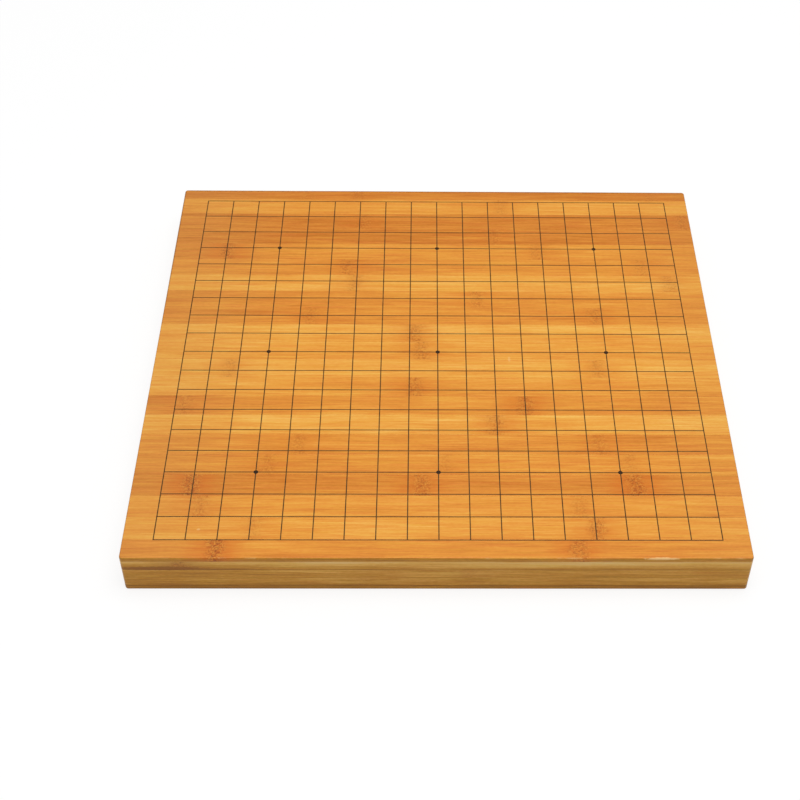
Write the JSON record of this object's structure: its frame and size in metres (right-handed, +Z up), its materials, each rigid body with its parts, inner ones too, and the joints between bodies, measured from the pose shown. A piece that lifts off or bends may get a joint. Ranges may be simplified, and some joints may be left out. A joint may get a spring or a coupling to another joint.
{
  "type": "go board",
  "caption": "One-piece laminated bamboo go board: a thick varnished slab of flat strips with an engraved and inked square grid and star points on its top.",
  "frame": {"origin": "centre of the underside, which rests on the table", "axes": "+Z up out of the playing face; +X along the bamboo strips and the longer side, to the right of the near player; +Y towards the far player"},
  "size_m": [0.47, 0.44, 0.0373],
  "materials": {
    "face_bamboo": "satin varnish over carbonised bamboo strips",
    "core_bamboo": "satin varnish on sanded edges",
    "back_bamboo": "satin varnish over carbonised bamboo strips",
    "glue": "dark glue line under varnish",
    "line_ink": "dark brown ink in engraved lines"
  },
  "bodies": {
    "root": {"face_strip_01": "face_bamboo", "face_strip_02": "face_bamboo", "face_strip_03": "face_bamboo", "face_strip_04": "face_bamboo", "face_strip_05": "face_bamboo", "face_strip_06": "face_bamboo", "face_strip_07": "face_bamboo", "face_strip_08": "face_bamboo", "face_strip_09": "face_bamboo", "face_strip_10": "face_bamboo", "face_strip_11": "face_bamboo", "face_strip_12": "face_bamboo", "face_strip_13": "face_bamboo", "face_strip_14": "face_bamboo", "face_strip_15": "face_bamboo", "face_strip_16": "face_bamboo", "face_strip_17": "face_bamboo", "face_strip_18": "face_bamboo", "face_strip_19": "face_bamboo", "face_strip_20": "face_bamboo", "face_strip_21": "face_bamboo", "back_strip_01": "back_bamboo", "back_strip_02": "back_bamboo", "back_strip_03": "back_bamboo", "back_strip_04": "back_bamboo", "back_strip_05": "back_bamboo", "back_strip_06": "back_bamboo", "back_strip_07": "back_bamboo", "back_strip_08": "back_bamboo", "back_strip_09": "back_bamboo", "back_strip_10": "back_bamboo", "back_strip_11": "back_bamboo", "back_strip_12": "back_bamboo", "back_strip_13": "back_bamboo", "back_strip_14": "back_bamboo", "back_strip_15": "back_bamboo", "back_strip_16": "back_bamboo", "back_strip_17": "back_bamboo", "back_strip_18": "back_bamboo", "back_strip_19": "back_bamboo", "back_strip_20": "back_bamboo", "back_strip_21": "back_bamboo", "upper_core_ply": "core_bamboo", "middle_core_ply": "core_bamboo", "lower_core_ply": "core_bamboo", "glue_film_1": "glue", "glue_film_2": "glue", "glue_film_3": "glue", "glue_film_4": "glue", "grid_lines": "line_ink", "star_points": "line_ink"}
  },
  "joints": []
}
